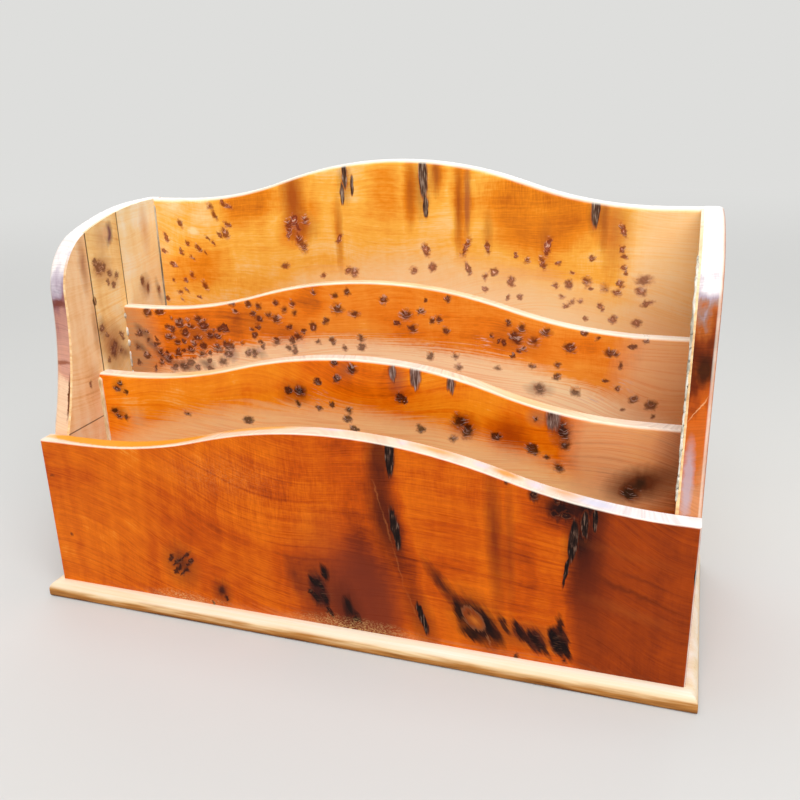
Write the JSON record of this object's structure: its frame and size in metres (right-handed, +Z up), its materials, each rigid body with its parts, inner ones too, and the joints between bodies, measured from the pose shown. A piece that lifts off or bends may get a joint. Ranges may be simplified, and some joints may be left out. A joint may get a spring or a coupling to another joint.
{
  "type": "letter rack",
  "caption": "Free-standing desk letter rack in varnished burl wood, with humped boards rising towards the back, shaped lined sides and a rounded base.",
  "frame": {"origin": "on the table, under the middle of the base board", "axes": "+Z up, +X along the boards to the right seen from the front, the front panel faces -Y"},
  "size_m": [0.29, 0.1134, 0.1912],
  "materials": {
    "base_wood": "varnished",
    "front_burl": "varnished",
    "front_divider_burl": "varnished",
    "rear_divider_burl": "varnished",
    "back_burl": "varnished",
    "side_wood": "varnished",
    "lining_wood": "varnished",
    "lining_burl": "varnished",
    "lining_sapwood": "varnished",
    "pin_steel": "plain"
  },
  "bodies": {
    "root": {"base_board": "base_wood", "front_panel": "front_burl", "front_divider": "front_divider_burl", "rear_divider": "rear_divider_burl", "back_panel": "back_burl", "left_side": "side_wood", "right_side": "side_wood", "left_front_lining_lower": "lining_wood", "left_front_lining_upper": "lining_wood", "left_middle_lining": "lining_burl", "left_rear_lining": "lining_sapwood", "right_front_lining": "lining_wood", "right_middle_lining": "lining_burl", "right_rear_lining": "lining_sapwood", "panel_pins": "pin_steel"}
  },
  "joints": []
}
